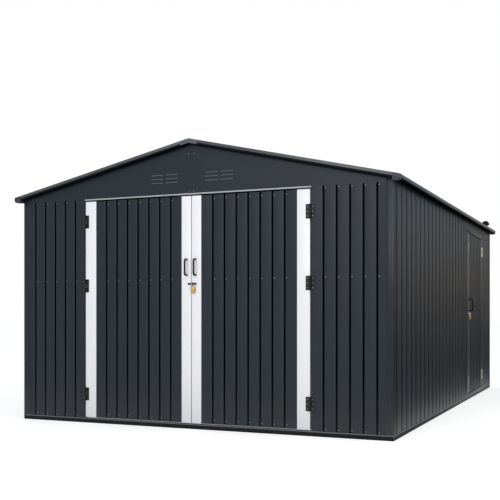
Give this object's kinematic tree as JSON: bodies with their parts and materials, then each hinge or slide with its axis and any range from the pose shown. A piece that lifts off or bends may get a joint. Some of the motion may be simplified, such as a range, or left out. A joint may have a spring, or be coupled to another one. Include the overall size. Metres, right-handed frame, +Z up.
{
  "type": "metal garage",
  "caption": "Gabled metal garage of folded dark sheets on a light frame, with paired hinged front doors and a hinged side door.",
  "frame": {"origin": "on the ground, in the middle of the roof's plan", "axes": "+X to the right seen from the front doors, +Y from the front doors to the rear wall, +Z up"},
  "size_m": [3.44, 4.95, 2.3355],
  "materials": {
    "anthracite_sheet": "satin anthracite coating",
    "roof_sheet": "satin anthracite coating",
    "roof_trim": "satin grey coating",
    "dark_frame": "satin dark coating",
    "base_rail": "satin near-black coating",
    "side_door_frame": "satin anthracite coating",
    "pale_stile": "satin off-white coating",
    "black_hardware": "semi-gloss black",
    "zinc_plate": "dull passivated zinc",
    "padlock_brass": "polished",
    "black_plastic": "matt"
  },
  "bodies": {
    "garage": {"base_rails_front_rear": "base_rail", "base_rails_sides": "base_rail", "corner_posts": "side_door_frame", "side_door_jambs": "side_door_frame", "side_door_head": "side_door_frame", "side_door_sill": "side_door_frame", "door_posts": "dark_frame", "cross_beams": "dark_frame", "eave_beams": "dark_frame", "wall_girts": "dark_frame", "tie_beams": "dark_frame", "king_posts": "dark_frame", "ridge_beam": "dark_frame", "purlins": "dark_frame", "front_wall_left": "anthracite_sheet", "front_wall_right": "anthracite_sheet", "left_wall": "anthracite_sheet", "rear_wall": "anthracite_sheet", "right_wall_front": "anthracite_sheet", "right_wall_rear": "anthracite_sheet", "right_wall_over_door": "anthracite_sheet", "gable_front_left": "anthracite_sheet", "gable_front_right": "anthracite_sheet", "gable_rear_left": "anthracite_sheet", "gable_rear_right": "anthracite_sheet", "roof_left": "roof_sheet", "roof_right": "roof_sheet", "ridge_cap": "roof_trim", "verge_trims": "roof_trim", "eave_trims": "roof_trim", "eave_corner_caps": "black_plastic", "roof_vent": "black_plastic", "door_header": "pale_stile", "front_hinge_plates": "black_hardware", "side_hinge_plates": "zinc_plate"},
    "left_door": {"left_door_rails": "dark_frame", "left_door_panel": "anthracite_sheet", "left_door_stiles": "pale_stile", "left_door_hinges": "black_hardware", "left_door_handle": "black_hardware", "left_door_keeper": "black_hardware"},
    "right_door": {"right_door_rails": "dark_frame", "right_door_panel": "anthracite_sheet", "right_door_stiles": "pale_stile", "right_door_hinges": "black_hardware", "right_door_handle": "black_hardware", "right_door_hasp": "black_hardware", "front_padlock": "padlock_brass"},
    "side_door": {"side_door_stiles": "side_door_frame", "side_door_rails": "dark_frame", "side_door_panel": "anthracite_sheet", "side_door_handle": "black_hardware", "side_door_hinges": "zinc_plate", "side_door_latches": "zinc_plate", "side_padlock": "padlock_brass"}
  },
  "joints": [
    {"name": "left_door_swing", "type": "hinge", "parent": "garage", "child": "left_door", "pos_m": [-1.0165, -2.429, 1], "axis": [0, 0, -1], "range_deg": [0, 120]},
    {"name": "right_door_swing", "type": "hinge", "parent": "garage", "child": "right_door", "pos_m": [1.0165, -2.429, 1], "axis": [0, 0, 1], "range_deg": [0, 120]},
    {"name": "side_door_swing", "type": "hinge", "parent": "garage", "child": "side_door", "pos_m": [1.669, 1.726, 1], "axis": [0, 0, 1], "range_deg": [0, 110]}
  ]
}
